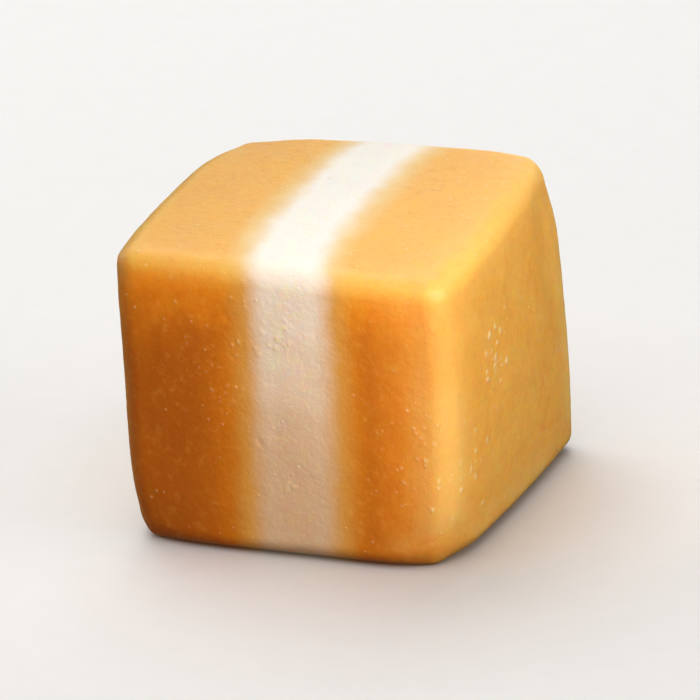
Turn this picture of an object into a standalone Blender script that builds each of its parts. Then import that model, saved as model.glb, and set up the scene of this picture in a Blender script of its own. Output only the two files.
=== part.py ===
"""Layered caramel candy: one soft, knife-cut cube of caramel with a band of vanilla cream through it.

The candy is three slices of one block, side by side along X: caramel, cream, caramel. Each slice is a
cube primitive, cut into a grid and pressed into the same soft block form, so the slices meet all round.

Metres, +Z up. X runs across the layers, -Y is the front, and the candy rests on its flat base at Z = 0.
"""
import math

import bmesh
import bpy
from mathutils import Vector

# ---- Driving sizes -------------------------------------------------------------------------------
WIDTH = 0.0202            # across the layers, edge to edge
DEPTH = 0.0194            # front to back
HEIGHT = 0.0185           # base to top
LEFT_SHARE = 0.395        # part of the width that is left caramel
CREAM_SHARE = 0.265       # part of the width that is cream
EDGE_RADIUS = 0.0012      # softened cut edges
LAYER_GAP = 0.0003        # clearance between neighbouring slices
BASE_TOLERANCE = 1e-7     # points this close to the base belong to it

# ---- How the soft block has settled --------------------------------------------------------------
RIGHT_BARREL = 0.00040    # right end bulges most at half height
RIGHT_SWELL = 0.00034     # and a little over its depth
LEFT_BARREL = 0.00006     # left end hardly bulges over its height
LEFT_SWELL = 0.00062      # but swells over its depth
SIDE_BULGE = 0.00025      # front and back faces
TOP_CROWN = 0.00022       # the middle of the top stands proud
END_TWIST = 0.00032       # the right end is cut a little out of square
BACK_RISE = 0.00050       # the back right edge is taller, the front right edge lower
LAYER_LEAN = 0.00026      # the layers lean right towards the top, the left one more
LAYER_BELLY = 0.00022     # bulge right at half height, the right one more
LAYER_BOW = 0.00108       # and bow left between the front and the back

# ---- Softer corners: which corner (x, y, z signs), how deep, how far it reaches --------------------
SOFT_CORNERS = (
    ((-1, 1, 1), 0.00075, 0.0036),
    ((-1, -1, -1), 0.00055, 0.0026),
    ((1, -1, -1), 0.00078, 0.0028),
    ((1, 1, 1), 0.00045, 0.0026),
)

# ---- Softer upright edges: which edge (x, y signs), how deep, how far it reaches --------------------
SOFT_EDGES = (
    ((1, -1), 0.00040, 0.0020),
)

# ---- Shallow ridges that the slab's edge left down the left end ------------------------------------
RIDGE_COUNT = 7
RIDGE_DEPTH = 0.00014
RIDGE_CELLS = 4           # grid cells for each ridge

# ---- Grid cells between the rounded edges ----------------------------------------------------------
DEPTH_CELLS = 10
HEIGHT_CELLS = 10
CREAM_CELLS = 4
CARAMEL_CELLS = 4

HALF_WIDTH = WIDTH / 2
HALF_DEPTH = DEPTH / 2
HALF_HEIGHT = HEIGHT / 2
CREAM_LOW = WIDTH * LEFT_SHARE - HALF_WIDTH
CREAM_HIGH = CREAM_LOW + WIDTH * CREAM_SHARE
COLLECTION_NAME = "layered_caramel_candy"


def clear_scene():
    """Empty the scene, so that the file gives the same model each run."""
    for thing in list(bpy.data.objects):
        bpy.data.objects.remove(thing, do_unlink=True)


def make_material(name, colour, roughness):
    """A plain Principled material; candy is never metallic."""
    material = bpy.data.materials.new(name)
    material.use_nodes = True
    shader = material.node_tree.nodes["Principled BSDF"]
    shader.inputs["Base Color"].default_value = (*colour, 1.0)
    shader.inputs["Roughness"].default_value = roughness
    shader.inputs["Metallic"].default_value = 0.0
    return material


def grid_lines(low, high, cells, round_low=True, round_high=True):
    """Where to cut a slice along one axis: close together over a rounded edge, even between the edges."""
    half_turn = EDGE_RADIUS * math.tan(math.pi / 8)
    start, stop, lines = low, high, []
    if round_low:
        start = low + EDGE_RADIUS
        lines += [start - half_turn, start]
    if round_high:
        stop = high - EDGE_RADIUS
        lines += [stop, stop + half_turn]
    step = (stop - start) / cells
    return lines + [start + step * i for i in range(1, cells)]


def cut_grid(mesh, axis, lines):
    """Cut a box mesh across one axis at each of the given places."""
    normal = Vector((0.0, 0.0, 0.0))
    normal[axis] = 1.0
    for line in lines:
        geometry = mesh.verts[:] + mesh.edges[:] + mesh.faces[:]
        bmesh.ops.bisect_plane(mesh, geom=geometry, plane_co=normal * line, plane_no=normal)


def rounded(point):
    """Round the edges and corners of the whole block; inner points keep their place in the round."""
    limits = (HALF_WIDTH - EDGE_RADIUS, HALF_DEPTH - EDGE_RADIUS, HALF_HEIGHT - EDGE_RADIUS)
    core = Vector([max(-limit, min(limit, value)) for value, limit in zip(point, limits)])
    outward = point - core
    if outward.length == 0.0:
        return point
    return core + outward.normalized() * max(abs(value) for value in outward)


def settled(point):
    """Bulge, twist and lean the rounded block. The base stays flat: heights only change above it."""
    u, v, w = point.x / HALF_WIDTH, point.y / HALF_DEPTH, point.z / HALF_HEIGHT
    over_depth, over_height, over_width = 1 - v * v, 1 - w * w, 1 - u * u
    above_base = (w + 1) / 2
    right, left = max(u, 0.0) ** 2, max(-u, 0.0) ** 2

    shift = Vector((0.0, 0.0, 0.0))
    shift.x += right * (RIGHT_BARREL * over_height + RIGHT_SWELL * over_depth - END_TWIST * v * w)
    shift.x -= left * (LEFT_BARREL * over_height + LEFT_SWELL * over_depth)
    shift.x += over_width * (LAYER_LEAN * w * (1 - u) + LAYER_BELLY * over_height * (1 + u))
    shift.x -= over_width * LAYER_BOW * (1 - v ** 4)
    shift.y += v * abs(v) * SIDE_BULGE * over_height * over_width
    shift.z += above_base * TOP_CROWN * over_width * over_depth
    shift.z += above_base * BACK_RISE * v * (u + 1) / 2
    return point + shift


def ridged(point, shaped):
    """Press shallow upright ridges into the left end, fading out before its edges."""
    if point.x > -HALF_WIDTH + EDGE_RADIUS:
        return shaped
    inset_depth = HALF_DEPTH - EDGE_RADIUS
    inset_height = HALF_HEIGHT - EDGE_RADIUS
    across = (point.y + inset_depth) / (2 * inset_depth)
    if not 0.0 < across < 1.0:
        return shaped
    fade = max(0.0, 1 - (point.z / inset_height) ** 4)
    groove = 0.5 - 0.5 * math.cos(2 * math.pi * RIDGE_COUNT * across)
    return shaped + Vector((RIDGE_DEPTH * fade * groove, 0.0, 0.0))


def soften_edges(point):
    """Draw the block in along its softer upright edges, level with the base."""
    for signs, depth, reach in SOFT_EDGES:
        edge = Vector((signs[0] * HALF_WIDTH, signs[1] * HALF_DEPTH, point.z))
        pull = depth * math.exp(-((point - edge).length / reach) ** 2)
        point = point - Vector((*signs, 0.0)).normalized() * pull
    return point


def soften_corners(point):
    """Draw the block in at its worn corners, but never off its flat base."""
    halves = Vector((HALF_WIDTH, HALF_DEPTH, HALF_HEIGHT))
    for signs, depth, reach in SOFT_CORNERS:
        corner = Vector([sign * half for sign, half in zip(signs, halves)])
        pull = depth * math.exp(-((point - corner).length / reach) ** 2)
        inward = -Vector(signs).normalized() * pull
        if point.z <= -HALF_HEIGHT + BASE_TOLERANCE:
            inward.z = 0.0
        point = point + inward
    return point


def candy_form(point):
    """Where a point of the square-edged block ends up in the finished candy, standing on Z = 0."""
    shaped = ridged(point, settled(rounded(point)))
    shaped = soften_corners(soften_edges(shaped))
    return shaped + Vector((0.0, 0.0, HALF_HEIGHT))


def make_slice(name, low, high, x_lines, y_cells, material, collection):
    """One slice of the candy between two places along X."""
    mesh = bmesh.new()
    bmesh.ops.create_cube(mesh, size=1.0)
    size = Vector((high - low, DEPTH, HEIGHT))
    bmesh.ops.scale(mesh, vec=size, verts=mesh.verts)
    bmesh.ops.translate(mesh, vec=((low + high) / 2, 0.0, 0.0), verts=mesh.verts)
    cut_grid(mesh, 0, x_lines)
    cut_grid(mesh, 1, grid_lines(-HALF_DEPTH, HALF_DEPTH, y_cells))
    cut_grid(mesh, 2, grid_lines(-HALF_HEIGHT, HALF_HEIGHT, HEIGHT_CELLS))
    for vertex in mesh.verts:
        vertex.co = candy_form(vertex.co.copy())

    data = bpy.data.meshes.new(name)
    mesh.to_mesh(data)
    mesh.free()
    data.materials.append(material)
    data.shade_smooth()
    candy_slice = bpy.data.objects.new(name, data)
    collection.objects.link(candy_slice)
    return candy_slice


def make_left_caramel(material, collection):
    """The caramel slice that carries the ridged end."""
    low, high = -HALF_WIDTH, CREAM_LOW - LAYER_GAP / 2
    lines = grid_lines(low, high, CARAMEL_CELLS, round_high=False)
    ridge_cells = RIDGE_COUNT * RIDGE_CELLS
    return make_slice("caramel_layer_left", low, high, lines, ridge_cells, material, collection)


def make_cream(material, collection):
    """The band of cream between the two caramel slices."""
    low, high = CREAM_LOW + LAYER_GAP / 2, CREAM_HIGH - LAYER_GAP / 2
    lines = grid_lines(low, high, CREAM_CELLS, round_low=False, round_high=False)
    return make_slice("cream_layer", low, high, lines, DEPTH_CELLS, material, collection)


def make_right_caramel(material, collection):
    """The caramel slice that carries the smooth end."""
    low, high = CREAM_HIGH + LAYER_GAP / 2, HALF_WIDTH
    lines = grid_lines(low, high, CARAMEL_CELLS, round_low=False)
    return make_slice("caramel_layer_right", low, high, lines, DEPTH_CELLS, material, collection)


def centre_on_footprint(slices):
    """Move the meshes so that the candy's box is centred on the origin."""
    corners = [vertex.co for candy_slice in slices for vertex in candy_slice.data.vertices]
    for axis in (0, 1):
        values = [corner[axis] for corner in corners]
        middle = (min(values) + max(values)) / 2
        for corner in corners:
            corner[axis] -= middle


def main():
    clear_scene()
    collection = bpy.data.collections.new(COLLECTION_NAME)
    bpy.context.scene.collection.children.link(collection)
    caramel = make_material("caramel", (0.74, 0.34, 0.07), 0.5)
    cream = make_material("cream", (0.87, 0.76, 0.62), 0.6)
    slices = (
        make_left_caramel(caramel, collection),
        make_cream(cream, collection),
        make_right_caramel(caramel, collection),
    )
    centre_on_footprint(slices)


main()
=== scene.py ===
"""Looks of the layered caramel candy: three fine slices, studio floor, light and camera.

Each slice is a closed, finely gridded box pressed into the same soft block form as its CAD node, then given
real relief: dents, lumps, grain, streaks, pits, crumbs of sugar, a pressed hollow on the right end and ridges
on the left one. Neighbouring slices meet face to face, and their colours blend into each other at the border.

Metres, +Z up. X runs across the layers, -Y is the front, and the candy rests on its flat base at Z = 0.
"""
import math
import random

import bmesh
import bpy
import numpy as np
from mathutils import Matrix, Vector, noise


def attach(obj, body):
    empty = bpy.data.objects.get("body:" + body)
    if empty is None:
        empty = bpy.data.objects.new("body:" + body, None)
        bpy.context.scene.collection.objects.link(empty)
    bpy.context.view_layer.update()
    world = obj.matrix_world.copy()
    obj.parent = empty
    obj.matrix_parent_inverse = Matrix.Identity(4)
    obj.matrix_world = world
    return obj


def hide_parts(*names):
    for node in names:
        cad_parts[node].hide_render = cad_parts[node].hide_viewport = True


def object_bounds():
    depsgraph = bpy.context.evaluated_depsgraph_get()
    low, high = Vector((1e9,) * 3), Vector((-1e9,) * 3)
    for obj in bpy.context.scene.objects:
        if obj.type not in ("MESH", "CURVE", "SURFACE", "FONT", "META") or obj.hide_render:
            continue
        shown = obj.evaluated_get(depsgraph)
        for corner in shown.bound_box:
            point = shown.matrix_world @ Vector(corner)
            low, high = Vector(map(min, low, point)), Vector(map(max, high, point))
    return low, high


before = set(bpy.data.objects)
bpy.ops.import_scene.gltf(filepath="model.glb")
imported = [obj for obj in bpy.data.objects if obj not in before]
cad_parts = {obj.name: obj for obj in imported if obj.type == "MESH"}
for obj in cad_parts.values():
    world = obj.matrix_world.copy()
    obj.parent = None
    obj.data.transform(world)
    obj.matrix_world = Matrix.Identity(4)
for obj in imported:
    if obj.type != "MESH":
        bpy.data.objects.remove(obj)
cad_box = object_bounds()

MM = 0.001

# ---- The block ---------------------------------------------------------------------------------------
# The CAD source's form, with slightly shallower ridges and smoother worn corners at the base.
WIDTH = 20.2 * MM
DEPTH = 19.4 * MM
HEIGHT = 18.5 * MM
LEFT_SHARE = 0.395            # shares of the width
CREAM_SHARE = 0.265
EDGE_RADIUS = 1.2 * MM
HALF = np.array((WIDTH, DEPTH, HEIGHT)) / 2
CREAM_LOW = WIDTH * LEFT_SHARE - HALF[0]
CREAM_HIGH = CREAM_LOW + WIDTH * CREAM_SHARE

RIGHT_BARREL = 0.40 * MM      # an end stands out at mid height
RIGHT_SWELL = 0.34 * MM       # and midway from front to back
LEFT_BARREL = 0.06 * MM
LEFT_SWELL = 0.62 * MM
SIDE_BULGE = 0.25 * MM        # the front and the back stand out at mid height
TOP_CROWN = 0.22 * MM
END_TWIST = 0.32 * MM         # the right end's upper corners turn against its lower ones
BACK_RISE = 0.50 * MM         # the top rises to the back at its right end, and sinks to the front
LAYER_LEAN = 0.26 * MM        # the layers lean to the right as they go up
LAYER_BELLY = 0.22 * MM       # they belly to the right at mid height
LAYER_BOW = 1.08 * MM         # and bow to the left midway from front to back
SOFT_CORNERS = (              # a corner's signs, how deep it is worn, and how far the wear reaches
    ((-1, 1, 1), 0.75 * MM, 3.6 * MM),
    ((-1, -1, -1), 0.55 * MM, 2.6 * MM),
    ((1, -1, -1), 0.78 * MM, 2.8 * MM),
    ((1, 1, 1), 0.45 * MM, 2.6 * MM),
)
SOFT_EDGES = (                # the same for an upright edge
    ((1, -1), 0.40 * MM, 2.0 * MM),
)
RIDGE_COUNT = 7
RIDGE_DEPTH = 0.11 * MM
RIDGE_WANDER, RIDGE_WANDER_SIZE = 0.35 * MM, 6 * MM
RIDGE_PATCH_SIZE = 4 * MM     # ridges are deeper and shallower in patches of this size
LIFT_REACH = 0.9 * MM         # how far above the base the worn corners are lifted in full

# ---- Fine surface ------------------------------------------------------------------------------------
SPACING = 0.13 * MM           # grid cell
BORDER_WAVE, BORDER_WAVE_SIZE = 0.09 * MM, 4.2 * MM
DENT_HEIGHT, DENT_SIZE = 0.060 * MM, 5.0 * MM
LUMP_HEIGHT, LUMP_SIZE = 0.022 * MM, 1.3 * MM
GRAIN_HEIGHT, GRAIN_SIZE = 0.010 * MM, 0.42 * MM
STREAK_HEIGHT, STREAK_SIZE = 0.016 * MM, 1.1 * MM
PIT_COUNT, PIT_DEPTH = 60, 0.045 * MM
PIT_RADII = (0.18 * MM, 0.40 * MM)
CRUMB_COUNT, CRUMB_HEIGHT = 170, 0.055 * MM
CRUMB_RADII = (0.13 * MM, 0.24 * MM)
PATCH_SMALLEST = 0.14 * MM    # radius of the smallest crumb of a patch
LOOSE_CRUMB = 0.5             # how tall and pale a lone crumb is, against those of the patches
CRUMB_WARP, CRUMB_WARP_SIZE = 0.16 * MM, 0.45 * MM
FACING = (0.70, 0.85)         # spots fade out where the skin turns this far from their face
SEED = 11
SPOT_STEEPNESS = 1.4          # how pointed a crumb's or a pit's dome is
SPOT_ROUNDNESS = (0.45, 1)    # its short radius against its long one
SPOT_MARGIN = 0.5 * MM        # scattered spots keep this far from a face's edges
SKIN_FADE = 6                 # how fast the relief dies away inside the block
EDGE_SKIN = 0.8               # how pale the skin is just round the right end's edges, against the end itself: dry skin, and painted light where the light from the right falls
BASE_TOLERANCE = 1e-7         # points this near the base get no relief
WELD = SPACING / 20           # points nearer than this become one
SHARP_ANGLE = math.radians(50)
SKIN_REACH = 2.9 * MM         # how far the right end's paler skin creeps round its edges: dry skin, and painted light from the right

# Patches of sugar crumbs: axis the face looks along, patch centre in the block, spread, number of crumbs,
# the largest crumb's radius, and how tall and pale they are.
CRUMB_PATCHES = (
    (1, (-0.9 * MM, -HALF[1], 5.1 * MM), 1.0 * MM, 18, 0.22 * MM, 1.1),
    (1, (-0.2 * MM, -HALF[1], -4.4 * MM), 0.4 * MM, 5, 0.22 * MM, 1.2),
    (1, (-6.2 * MM, -HALF[1], 4.4 * MM), 1.3 * MM, 8, 0.24 * MM, 0.6),
    (1, (-4.7 * MM, -HALF[1], 2.0 * MM), 0.7 * MM, 4, 0.24 * MM, 0.7),
    (1, (6.5 * MM, -HALF[1], 5.4 * MM), 1.2 * MM, 5, 0.24 * MM, 0.5),
    (1, (8.9 * MM, -HALF[1], -3.2 * MM), 1.8 * MM, 26, 0.20 * MM, 1.1),
    (0, (HALF[0], -3.4 * MM, 1.8 * MM), 1.1 * MM, 28, 0.32 * MM, 1.25),
    (0, (HALF[0], -8.0 * MM, -3.6 * MM), 1.6 * MM, 20, 0.28 * MM, 1.1),
    (0, (HALF[0], 1.0 * MM, 6.0 * MM), 1.8 * MM, 12, 0.28 * MM, 0.6),
)

# A finger-pressed hollow beside the far edge of the right end.
PRESS_CENTRE = (HALF[0], 6.2 * MM, 4.4 * MM)
PRESS_RADII = (4.6 * MM, 1.7 * MM)
PRESS_TURN = math.radians(98)
PRESS_DEPTH = 0.13 * MM


# ---- The block's form --------------------------------------------------------------------------------
def rounded(points):
    """Round the block's edges. Also gives the outward direction and how near the skin a point is, 0 to 1."""
    limits = HALF - EDGE_RADIUS
    core = np.clip(points, -limits, limits)
    offset = points - core
    length = np.linalg.norm(offset, axis=1, keepdims=True)
    reach = np.abs(offset).max(axis=1, keepdims=True)
    outward = np.divide(offset, length, out=np.zeros_like(offset), where=length > 0)
    return core + outward * reach, outward, reach[:, 0] / EDGE_RADIUS


def border_wander(points):
    """A slow side-to-side wander of the layers, the same for both slices that share a border."""
    scale = 1 / BORDER_WAVE_SIZE
    samples = [noise.noise(Vector((0.7, y * scale, z * scale))) for _, y, z in points]
    return BORDER_WAVE * np.array(samples)


def settled(points):
    """Bulge, twist and lean the rounded block. The base stays flat."""
    u, v, w = (points / HALF).T
    over_width, over_depth, over_height = 1 - u * u, 1 - v * v, 1 - w * w
    above_base = (w + 1) / 2
    right, left = np.maximum(u, 0) ** 2, np.maximum(-u, 0) ** 2

    shift = np.zeros_like(points)
    shift[:, 0] += right * (RIGHT_BARREL * over_height + RIGHT_SWELL * over_depth - END_TWIST * v * w)
    shift[:, 0] -= left * (LEFT_BARREL * over_height + LEFT_SWELL * over_depth)
    shift[:, 0] += over_width * (LAYER_LEAN * w * (1 - u) + LAYER_BELLY * over_height * (1 + u))
    shift[:, 0] += over_width * (border_wander(points) - LAYER_BOW * (1 - v ** 4))
    shift[:, 1] += v * np.abs(v) * SIDE_BULGE * over_height * over_width
    shift[:, 2] += above_base * TOP_CROWN * over_width * over_depth
    shift[:, 2] += above_base * BACK_RISE * v * (u + 1) / 2
    return points + shift


def soften_edges(points):
    """Draw the block in along its softer upright edges."""
    for signs, depth, reach in SOFT_EDGES:
        signs = np.array((*signs, 0), dtype=float)
        distance = np.linalg.norm((points - signs * HALF)[:, :2], axis=1)
        pull = depth * np.exp(-(distance / reach) ** 2)
        points = points - signs / np.linalg.norm(signs) * pull[:, None]
    return points


def soften_corners(points):
    """Draw the block in at its worn corners, but never off its flat base."""
    lifted = np.clip((points[:, 2] + HALF[2]) / LIFT_REACH, 0, 1)
    for signs, depth, reach in SOFT_CORNERS:
        signs = np.array(signs, dtype=float)
        distance = np.linalg.norm(points - signs * HALF, axis=1)
        pull = depth * np.exp(-(distance / reach) ** 2)
        inward = -signs / np.linalg.norm(signs) * pull[:, None]
        inward[:, 2] *= lifted
        points = points + inward
    return points


# ---- Relief ------------------------------------------------------------------------------------------
def noise_at(points, size, offset, stretch=(1, 1, 1)):
    """Smooth noise with features of about the given size, -1 to 1, drawn out along an axis by stretch."""
    factors = 1 / (size * np.array(stretch, dtype=float))
    return np.array([noise.noise(Vector(place)) for place in points * factors + offset])


def end_ridges(points, outward):
    """Shallow upright ridges on the left end, unevenly deep and a little wavy."""
    inset = HALF - EDGE_RADIUS
    wander = RIDGE_WANDER * noise_at(points, RIDGE_WANDER_SIZE, 3.1)
    across = (points[:, 1] + wander + inset[1]) / (2 * inset[1])
    groove = 0.5 - 0.5 * np.cos(2 * math.pi * RIDGE_COUNT * across)
    uneven = 0.85 + 0.45 * noise_at(points, RIDGE_PATCH_SIZE, 7.7)
    fade = np.clip(1 - (points[:, 2] / inset[2]) ** 4, 0, 1) * np.clip(1 - (2 * across - 1) ** 8, 0, 1)
    on_end = np.clip(-outward[:, 0], 0, 1) ** 4
    return -RIDGE_DEPTH * groove * uneven * fade * on_end


def make_spot(axis, centre, low_radius, high_radius, chance):
    """A pit or a crumb: the axis its face looks along, its centre, two radii and a turn."""
    radius = low_radius * (high_radius / low_radius) ** chance.random()
    return axis, centre, radius, radius * chance.uniform(*SPOT_ROUNDNESS), chance.uniform(0, math.pi)


def scattered_spots(count, low_radius, high_radius, chance):
    """Pits or crumbs anywhere on the six faces."""
    spots = []
    for _ in range(count):
        axis = chance.choices((0, 1, 2), weights=(HALF[1] * HALF[2], HALF[0] * HALF[2], HALF[0] * HALF[1]))[0]
        side = chance.choice((-1, 1))
        centre = np.array([chance.uniform(-1, 1) * (half - SPOT_MARGIN) for half in HALF])
        centre[axis] = side * HALF[axis]
        spots.append(make_spot(axis, centre, low_radius, high_radius, chance))
    return spots


def patch_spots(chance):
    """The crumbs of the patches, thickest in the middle of each, with their strengths."""
    spots = []
    for axis, middle, spread, count, largest, strength in CRUMB_PATCHES:
        for _ in range(count):
            centre = np.array([chance.gauss(place, spread) for place in middle])
            centre[axis] = middle[axis]
            spots.append((make_spot(axis, centre, PATCH_SMALLEST, largest, chance), strength))
    return spots


def dome(points, outward, spot):
    """A smooth dome over a spot: 1 in its middle, 0 from its rim on and where the skin turns away."""
    axis, centre, long_radius, short_radius, turn = spot
    flat = [(axis + 1) % 3, (axis + 2) % 3]
    facing = outward[:, axis] * math.copysign(1, centre[axis])
    near = (np.abs(points[:, flat] - centre[flat]).max(axis=1) < long_radius) & (facing > FACING[0])
    along, beside = (points[near][:, flat] - centre[flat]).T
    a = (along * math.cos(turn) + beside * math.sin(turn)) / long_radius
    b = (beside * math.cos(turn) - along * math.sin(turn)) / short_radius
    height = np.zeros(len(points))
    turned = np.clip((facing[near] - FACING[0]) / (FACING[1] - FACING[0]), 0, 1)
    height[near] = turned * np.clip(1 - a * a - b * b, 0, 1) ** SPOT_STEEPNESS
    return height


def warped(points):
    """The points shifted a little this way and that, to make the crumbs uneven."""
    shifts = [noise_at(points, CRUMB_WARP_SIZE, offset) for offset in (2.1, 6.4, 8.8)]
    return points + CRUMB_WARP * np.stack(shifts, axis=1)


def pits_and_crumbs(points, outward):
    """Depth of the small air pits, and how far each point is up a crumb of sugar, 0 to 1."""
    chance = random.Random(SEED)
    pits, crumbs = np.zeros(len(points)), np.zeros(len(points))
    for spot in scattered_spots(PIT_COUNT, *PIT_RADII, chance):
        pits = np.maximum(pits, PIT_DEPTH * spot[2] / PIT_RADII[1] * dome(points, outward, spot))
    uneven = warped(points)
    for spot in scattered_spots(CRUMB_COUNT, *CRUMB_RADII, chance):
        crumbs = np.maximum(crumbs, LOOSE_CRUMB * dome(uneven, outward, spot))
    for spot, strength in patch_spots(chance):
        crumbs = np.maximum(crumbs, strength * dome(uneven, outward, spot))
    return pits, crumbs


def relief(points, outward):
    """How far the skin stands off the smooth block form at each point, and the share of it that is crumb."""
    height = DENT_HEIGHT * noise_at(points, DENT_SIZE, 1.3)
    height += LUMP_HEIGHT * noise_at(points, LUMP_SIZE, 5.9)
    height += GRAIN_HEIGHT * noise_at(points, GRAIN_SIZE, 9.2)
    height += STREAK_HEIGHT * noise_at(points, STREAK_SIZE, 4.4, (1, 1, 9)) * (1 - np.abs(outward[:, 2]))
    height += end_ridges(points, outward)
    height -= PRESS_DEPTH * dome(points, outward, (0, np.array(PRESS_CENTRE), *PRESS_RADII, PRESS_TURN))
    pits, crumbs = pits_and_crumbs(points, outward)
    return height - pits + CRUMB_HEIGHT * crumbs, crumbs


# ---- Slices ------------------------------------------------------------------------------------------
def gridded_box(low, high):
    """A closed box mesh of fine square cells, from six grids welded along their borders."""
    mesh = bmesh.new()
    size = Vector((high - low, DEPTH, HEIGHT))
    middle = Vector(((low + high) / 2, 0, 0))
    cells = [max(1, round(length / SPACING)) for length in size]
    for axis in range(3):
        first, second = (axis + 1) % 3, (axis + 2) % 3
        for side in (-1, 1):
            face = Matrix([[0] * 4] * 4)
            face[first][0] = side * size[first]
            face[second][1] = size[second]
            face[axis][2] = side
            for row in range(3):
                face[row][3] = middle[row]
            face[axis][3] += side * size[axis] / 2
            face[3][3] = 1
            grid = bmesh.ops.create_grid(mesh, x_segments=cells[first], y_segments=cells[second], size=0.5)
            bmesh.ops.transform(mesh, matrix=face, verts=grid["verts"])
    bmesh.ops.remove_doubles(mesh, verts=mesh.verts, dist=WELD)
    return mesh


def point_attribute(data, name, values):
    """Store one number for each point of a mesh, for its material to read."""
    attribute = data.attributes.new(name, "FLOAT", "POINT")
    attribute.data.foreach_set("value", values.astype(np.float32))


def make_slice(name, low, high, node):
    """One closed slice between two places along X, with relief on its outside and smooth faces at borders."""
    mesh = gridded_box(low, high)
    data = bpy.data.meshes.new(name)
    mesh.to_mesh(data)
    mesh.free()
    points = np.empty(len(data.vertices) * 3, dtype=np.float32)
    data.vertices.foreach_get("co", points)
    points = points.reshape(-1, 3).astype(float)

    shaped, outward, near_skin = rounded(points)
    shaped = soften_corners(soften_edges(settled(shaped)))
    height, crumbs = relief(points, outward)
    height *= near_skin ** SKIN_FADE
    height[points[:, 2] <= -HALF[2] + BASE_TOLERANCE] = 0
    shaped += outward * height[:, None]
    shaped[:, 2] = np.maximum(shaped[:, 2] + HALF[2], 0)
    data.vertices.foreach_set("co", shaped.astype(np.float32).ravel())

    gaps = np.sort(HALF - np.abs(points), axis=1)
    point_attribute(data, "from_edge_mm", gaps[:, 1] / MM)
    into_cream = np.minimum(points[:, 0] - CREAM_LOW, CREAM_HIGH - points[:, 0])
    point_attribute(data, "into_cream_mm", into_cream / MM)
    point_attribute(data, "relief_mm", height / MM)
    point_attribute(data, "crumb", crumbs)
    # The ends, the top and the right end's edges get a paler skin: dry skin, and painted light where the
    # light falls on them.
    from_right = (HALF[0] - points[:, 0]) / SKIN_REACH
    skin = outward[:, 0] ** 2 + np.maximum(outward[:, 2], 0) ** 2 + EDGE_SKIN * np.exp(-from_right ** 2)
    point_attribute(data, "dry_skin_and_painted_light", np.minimum(skin, 1))
    point_attribute(data, "from_right_mm", (HALF[0] - points[:, 0]) / MM)
    point_attribute(data, "from_top_mm", (HALF[2] - points[:, 2]) / MM)
    data.shade_smooth()
    data.set_sharp_from_angle(angle=SHARP_ANGLE)
    data.update()

    piece = bpy.data.objects.new(name, data)
    bpy.context.scene.collection.objects.link(piece)
    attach(piece, "root")
    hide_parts(node)
    return piece


def centre_on_footprint(pieces):
    """Move the meshes so that the candy stands in the middle of the CAD model's footprint."""
    low = np.min([np.array(piece.bound_box).min(axis=0) for piece in pieces], axis=0)
    high = np.max([np.array(piece.bound_box).max(axis=0) for piece in pieces], axis=0)
    target = (np.array(cad_box[0]) + np.array(cad_box[1])) / 2
    step = target - (low + high) / 2
    for piece in pieces:
        piece.data.transform(Matrix.Translation((step[0], step[1], 0)))


# ---- Materials ---------------------------------------------------------------------------------------
CARAMEL_DEEP = (0.56, 0.165, 0.005)     # cut faces; also the painted shade low down and in the hollows, and the dark grain
CARAMEL_WARM = (0.93, 0.35, 0.012)      # cut faces high up, near the right end and near the cream: painted light where the light falls high up and to the right
CARAMEL_GLOW = (0.98, 0.50, 0.045)      # painted glow: light from above shining through just under the top edges
CARAMEL_SKIN = (0.88, 0.46, 0.085)      # the ends and top: drier skin, and painted light where the light falls on them; also the pale grain
CARAMEL_RIM = (0.88, 0.64, 0.21)        # edges round the top and the right end: wear, and painted light shining through them
# Cream, deeper low down and paler high up: painted shade and light from above. CREAM_DEEP also shades the
# hollows.
CREAM_DEEP = (0.80, 0.63, 0.45)
CREAM_PALE = (0.95, 0.90, 0.84)
# The stained border, paler on the ends and top where the skin is paler: dry skin and painted light.
BORDER_DEEP = (0.78, 0.42, 0.09)
BORDER_PALE = (0.88, 0.62, 0.26)
# Pale sugar, painted paler still to stand in for the glints of its crystals.
SUGAR = (0.97, 0.80, 0.50)


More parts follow.
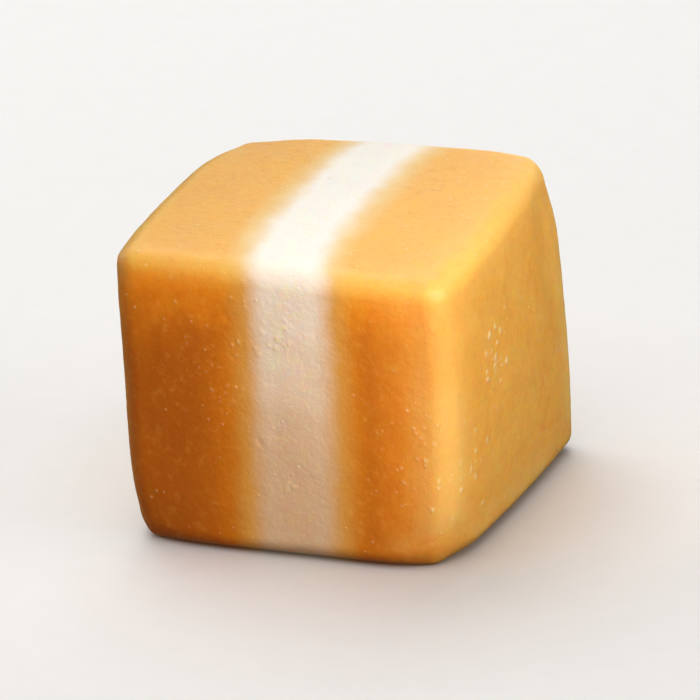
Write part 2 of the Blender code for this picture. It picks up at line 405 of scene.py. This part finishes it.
class Nodes:
    """A material's node tree, with short ways to add the nodes that the candy uses."""

    def __init__(self, name):
        self.material = bpy.data.materials.new(name)
        self.material.use_nodes = True
        self.tree = self.material.node_tree
        self.shader = self.tree.nodes["Principled BSDF"]
        coordinates = self.add("ShaderNodeTexCoord")
        self.place = coordinates.outputs["Object"]

    def add(self, kind, **settings):
        """A new node with the given settings."""
        added = self.tree.nodes.new(kind)
        for key, value in settings.items():
            setattr(added, key, value)
        return added

    def feed(self, socket, value):
        """Give an input a number, a colour or another node's output."""
        if isinstance(value, bpy.types.NodeSocket):
            self.tree.links.new(value, socket)
        elif isinstance(value, tuple) and len(value) == 3 and socket.type == "RGBA":
            socket.default_value = (*value, 1.0)
        else:
            socket.default_value = value

    def noise(self, size, detail=3.0, roughness=0.5, distortion=0.0, offset=(0, 0, 0)):
        """Noise, 0 to 1, with features of about the given size in metres."""
        mapping = self.add("ShaderNodeMapping")
        self.feed(mapping.inputs["Vector"], self.place)
        mapping.inputs["Scale"].default_value = [1 / size] * 3
        mapping.inputs["Location"].default_value = offset
        texture = self.add("ShaderNodeTexNoise")
        self.feed(texture.inputs["Vector"], mapping.outputs["Vector"])
        texture.inputs["Scale"].default_value = 1.0
        texture.inputs["Detail"].default_value = detail
        texture.inputs["Roughness"].default_value = roughness
        texture.inputs["Distortion"].default_value = distortion
        return texture.outputs["Fac"]

    def specks(self, size, radius):
        """Scattered round specks, 1 in the middle of each, one to each cell of the given size."""
        mapping = self.add("ShaderNodeMapping")
        self.feed(mapping.inputs["Vector"], self.place)
        mapping.inputs["Scale"].default_value = [1 / size] * 3
        texture = self.add("ShaderNodeTexVoronoi")
        self.feed(texture.inputs["Vector"], mapping.outputs["Vector"])
        texture.inputs["Scale"].default_value = 1.0
        return self.ramp(texture.outputs["Distance"], radius, radius * 0.4, 0.0, 1.0)

    def attribute(self, name):
        """A number stored on the mesh."""
        return self.add("ShaderNodeAttribute", attribute_name=name).outputs["Fac"]

    def ramp(self, value, from_low, from_high, to_low=0.0, to_high=1.0):
        """Smooth step of a value from one range to another."""
        added = self.add("ShaderNodeMapRange", interpolation_type="SMOOTHSTEP")
        for name, given in zip(("Value", "From Min", "From Max", "To Min", "To Max"),
                               (value, from_low, from_high, to_low, to_high)):
            self.feed(added.inputs[name], given)
        return added.outputs["Result"]

    def math(self, operation, first, second=0.0):
        """Arithmetic on one or two values."""
        added = self.add("ShaderNodeMath", operation=operation)
        self.feed(added.inputs[0], first)
        self.feed(added.inputs[1], second)
        return added.outputs[0]

    def mix(self, amount, first, second):
        """A colour part way from the first to the second."""
        added = self.add("ShaderNodeMix", data_type="RGBA")
        self.feed(added.inputs[0], amount)
        self.feed(added.inputs[6], first)
        self.feed(added.inputs[7], second)
        return added.outputs[2]

    def bump(self, height, distance, normal=None):
        """Bend the normal by a height of 0 to 1 that is worth the given distance in metres."""
        added = self.add("ShaderNodeBump")
        added.inputs["Strength"].default_value = 1.0
        added.inputs["Distance"].default_value = distance
        self.feed(added.inputs["Height"], height)
        if normal is not None:
            self.feed(added.inputs["Normal"], normal)
        return added.outputs["Normal"]


def layered_colour(n):
    """The candy's colour at any point: caramel, cream and a soft stained border, with painted light and
    shade. Distances are in mm.
    """
    mottle = n.noise(2.6 * MM, detail=4.0, roughness=0.55, distortion=0.3)
    fine = n.noise(0.5 * MM, detail=3.0, roughness=0.6, offset=(3, 1, 2))
    uneven = n.math("MULTIPLY", n.math("SUBTRACT", mottle, 0.5), 0.9)
    from_top = n.math("ADD", n.attribute("from_top_mm"), n.math("MULTIPLY", uneven, 6.0))
    skin = n.math("MULTIPLY", n.attribute("dry_skin_and_painted_light"), n.ramp(mottle, 0.30, 0.70, 0.72, 1.0))

    # Painted light: warmer, paler caramel high up and near the right end, where the light falls; also warmer
    # near the cream. Then a painted glow of light through the top edges, the paler skin of the ends and top
    # (dry skin and painted light), a painted shade deepening towards the base, and the grain.
    # Painted light: paler high up and towards the right end; warmer near the cream.
    painted_light_and_warmth = n.ramp(n.attribute("from_right_mm"), 8.5, 2.0, 0.0, 0.62)
    painted_light_and_warmth = n.math("MAXIMUM", n.ramp(from_top, 7.0, 0.5), painted_light_and_warmth)
    painted_light_and_warmth = n.math("MAXIMUM", painted_light_and_warmth, n.ramp(n.attribute("into_cream_mm"), -4.0, -0.6, 0.0, 0.5))
    caramel = n.mix(painted_light_and_warmth, CARAMEL_DEEP, CARAMEL_WARM)
    # Painted glow of light shining through just under the top edges.
    caramel = n.mix(n.ramp(n.attribute("from_top_mm"), 2.4, 0.0), caramel, CARAMEL_GLOW)
    # Paler skin on the ends and top: dry skin, and painted light.
    caramel = n.mix(skin, caramel, CARAMEL_SKIN)
    # Painted shade: the caramel deepens towards the base.
    caramel = n.mix(n.ramp(from_top, 13.0, 20.0, 0.0, 0.4), caramel, CARAMEL_DEEP)
    caramel = n.mix(n.ramp(fine, 0.50, 0.80, 0.0, 0.35), caramel, CARAMEL_SKIN)
    caramel = n.mix(n.ramp(fine, 0.50, 0.20, 0.0, 0.25), caramel, CARAMEL_DEEP)
    # Painted light and shade: the cream is paler high up and deeper towards the base.
    cream = n.mix(n.ramp(from_top, 14.0, 1.0), CREAM_DEEP, CREAM_PALE)
    # The border is paler on the ends and top: dry skin, and painted light.
    border = n.mix(skin, BORDER_DEEP, BORDER_PALE)

    # The stained border, whose edge wobbles.
    wobble = n.math("MULTIPLY", n.math("SUBTRACT", n.noise(1.4 * MM, offset=(5, 5, 5)), 0.5), 0.8)
    into_cream = n.math("ADD", n.attribute("into_cream_mm"), wobble)
    colour = n.mix(n.ramp(into_cream, -1.5, 0.1), caramel, border)
    colour = n.mix(n.ramp(into_cream, -0.4, 1.3), colour, cream)

    # Paler edges round the top and round the right end, but not at the base: partly wear, partly painted
    # light shining through the edges where light falls from above and from the right.
    from_edge = n.math("ADD", n.attribute("from_edge_mm"), wobble)
    high = n.ramp(from_top, 3.0, 1.0, 0.0, 0.4)
    low = n.math("MINIMUM", n.ramp(from_top, 4.0, 10.0, 0.25, 0.55), n.ramp(from_top, 18.5, 14.0))
    right = n.math("MULTIPLY", n.ramp(n.attribute("from_right_mm"), 5.0, 2.0), low)
    wear_and_painted_light = n.math("MULTIPLY", n.ramp(from_edge, 1.8, 0.0), high)
    wear_and_painted_light = n.math("MAXIMUM", wear_and_painted_light, n.math("MULTIPLY", n.ramp(from_edge, 3.6, 0.0), right))
    rim = n.mix(n.ramp(into_cream, -0.6, 0.6), CARAMEL_RIM, CREAM_PALE)
    return n.mix(wear_and_painted_light, colour, rim)


def candy_material(name, deep, roughness):
    """Soft candy: the layers' colour, fine grain, pale sugar with painted glints, painted shade in the
    hollows and a satin skin.
    """
    n = Nodes(name)
    colour = layered_colour(n)
    sparse = n.ramp(n.noise(2.2 * MM, offset=(8, 2, 4)), 0.48, 0.62)
    specks = n.math("MULTIPLY", n.specks(0.62 * MM, 0.22), sparse)
    sugar_and_painted_glint = n.math("MAXIMUM", n.math("MULTIPLY", specks, 0.5), n.ramp(n.attribute("crumb"), 0.10, 0.95))
    # Pale sugar specks and crumbs, partly their own colour, partly a painted glint.
    colour = n.mix(n.math("MULTIPLY", sugar_and_painted_glint, 0.58), colour, SUGAR)
    # Painted shade: the hollows are a little deeper in colour.
    painted_hollow_shade = n.ramp(n.attribute("relief_mm"), -0.05, -0.16, 0.0, 0.12)
    colour = n.mix(painted_hollow_shade, colour, deep)
    n.feed(n.shader.inputs["Base Color"], colour)

    gloss = n.ramp(n.noise(0.9 * MM, offset=(1, 7, 3)), 0.3, 0.7, roughness - 0.08, roughness + 0.06)
    n.feed(n.shader.inputs["Roughness"], n.math("SUBTRACT", gloss, n.math("MULTIPLY", sugar_and_painted_glint, 0.24)))

    normal = n.bump(n.noise(0.30 * MM, detail=2.0, offset=(2, 9, 6)), 0.026 * MM)
    normal = n.bump(n.noise(0.11 * MM, detail=2.0, offset=(6, 3, 8)), 0.013 * MM, normal)
    normal = n.bump(specks, 0.025 * MM, normal)
    n.feed(n.shader.inputs["Normal"], normal)

    from_border = n.math("ABSOLUTE", n.attribute("into_cream_mm"))
    glow = n.math("MULTIPLY", n.ramp(from_border, 0.3, 2.4, 0.0, 0.85), n.ramp(sugar_and_painted_glint, 0.0, 0.6, 1.0, 0.15))
    n.feed(n.shader.inputs["Subsurface Weight"], glow)
    n.shader.inputs["Subsurface Radius"].default_value = (1.0, 0.42, 0.10)
    n.shader.inputs["Subsurface Scale"].default_value = 1.5 * MM
    n.shader.inputs["IOR"].default_value = 1.42
    return n.material


def floor_material():
    """Plain pale studio board with a barely visible grain."""
    n = Nodes("studio_board")
    grain = n.noise(2.0 * MM, detail=2.0)
    n.feed(n.shader.inputs["Base Color"], n.mix(grain, (0.90, 0.895, 0.885), (0.93, 0.925, 0.915)))
    n.shader.inputs["Roughness"].default_value = 0.8
    return n.material


# ---- Studio ------------------------------------------------------------------------------------------
CAMERA_AZIMUTH = 23.1
CAMERA_ELEVATION = 23.3
CAMERA_ROLL = -3.8
CAMERA_DISTANCE = 0.57
CAMERA_CLIP = (0.01, 20)
FIELD_WIDTH = 0.041           # what the camera sees across, at the candy
AIM = Vector((0.0003, 0.0, 0.0092))
FLOOR_SIZE = 12
WHITE = (1, 1, 1)

# Lights: name, azimuth and elevation from the candy, distance, side of the square, power and colour.
ROOM_LIGHTS = (
    ("top_light", 212, 55, 0.50, 0.40, 1.27, WHITE),
    ("right_light", 90, 20, 0.60, 0.35, 0.80, (1.0, 0.945, 0.90)),
    ("left_light", 262, 16, 0.60, 0.35, 1.00, (1.0, 0.92, 0.82)),
)
CANDY_LIGHTS = (
    ("back_light", 188, 8, 0.60, 0.35, 0.80, (1.0, 0.91, 0.80)),
    ("warm_key", 53, 34, 0.085, 0.05, 0.066, (1.0, 0.95, 0.86)),
    ("warm_bounce", 5, 0, 0.05, 0.03, 0.0067, (1.0, 0.53, 0.24)),
)
FLOOR_LIGHT = ("floor_light", 0, 75, 1.0, 1.2, 6.0, WHITE)


def direction(azimuth, elevation):
    """Unit vector from the candy towards a place; azimuth 0 is the front, 90 the right."""
    a, e = math.radians(azimuth), math.radians(elevation)
    return Vector((math.sin(a) * math.cos(e), -math.cos(a) * math.cos(e), math.sin(e)))


def make_camera():
    """A long lens at the given angle, turned a little about its own axis."""
    data = bpy.data.cameras.new("camera")
    camera = bpy.data.objects.new("camera", data)
    bpy.context.scene.collection.objects.link(camera)
    back = direction(CAMERA_AZIMUTH, CAMERA_ELEVATION)
    level = (-back).to_track_quat("-Z", "Y").to_matrix()
    camera.matrix_world = Matrix.Translation(AIM + back * CAMERA_DISTANCE) @ (
        level @ Matrix.Rotation(math.radians(CAMERA_ROLL), 3, "Z")).to_4x4()
    data.lens = data.sensor_width * CAMERA_DISTANCE / FIELD_WIDTH
    data.clip_start, data.clip_end = CAMERA_CLIP
    bpy.context.scene.camera = camera


def softbox(name, azimuth, elevation, distance, size, power, colour):
    """A square soft light that faces the candy."""
    data = bpy.data.lights.new(name, "AREA")
    data.size, data.energy, data.color = size, power, colour
    light = bpy.data.objects.new(name, data)
    bpy.context.scene.collection.objects.link(light)
    towards = direction(azimuth, elevation)
    light.location = AIM + towards * distance
    light.rotation_euler = (-towards).to_track_quat("-Z", "Y").to_euler()
    light.visible_camera = False
    return light


def light_only(light, pieces):
    """Let a light fall on these objects and no others."""
    receivers = bpy.data.collections.new(light.name + "_receivers")
    for piece in pieces:
        receivers.objects.link(piece)
    light.light_linking.receiver_collection = receivers


def make_floor():
    """A plain board, large enough to fill every view."""
    bpy.ops.mesh.primitive_plane_add(size=FLOOR_SIZE)
    floor = bpy.context.active_object
    floor.name = "studio_floor"
    floor.data.materials.append(floor_material())
    floor.visible_diffuse = False
    floor.visible_glossy = False
    return floor


def make_studio(pieces):
    """Pale room light, the lights of the room and of the candy, and the floor with its own light."""
    scene = bpy.context.scene
    world = bpy.data.worlds.new("studio")
    world.use_nodes = True
    sky = world.node_tree.nodes["Background"]
    sky.inputs["Color"].default_value = (1.0, 0.97, 0.93, 1.0)
    sky.inputs["Strength"].default_value = 0.08
    scene.world = world
    for light in ROOM_LIGHTS:
        softbox(*light)
    for light in CANDY_LIGHTS:
        light_only(softbox(*light), pieces)
    light_only(softbox(*FLOOR_LIGHT), [make_floor()])
    scene.view_settings.view_transform = "Standard"
    scene.view_settings.look = "None"


# ---- The candy ---------------------------------------------------------------------------------------
caramel = candy_material("caramel", CARAMEL_DEEP, 0.46)
cream = candy_material("cream", CREAM_DEEP, 0.55)
left = make_slice("caramel_left", -HALF[0], CREAM_LOW, "caramel_layer_left")
middle = make_slice("cream_middle", CREAM_LOW, CREAM_HIGH, "cream_layer")
right = make_slice("caramel_right", CREAM_HIGH, HALF[0], "caramel_layer_right")
looks = ((left, caramel, "caramel"), (middle, cream, "cream"), (right, caramel, "caramel"))
for piece, material, slot in looks:
    piece.data.materials.append(material)
centre_on_footprint((left, middle, right))
make_camera()
make_studio((left, middle, right))
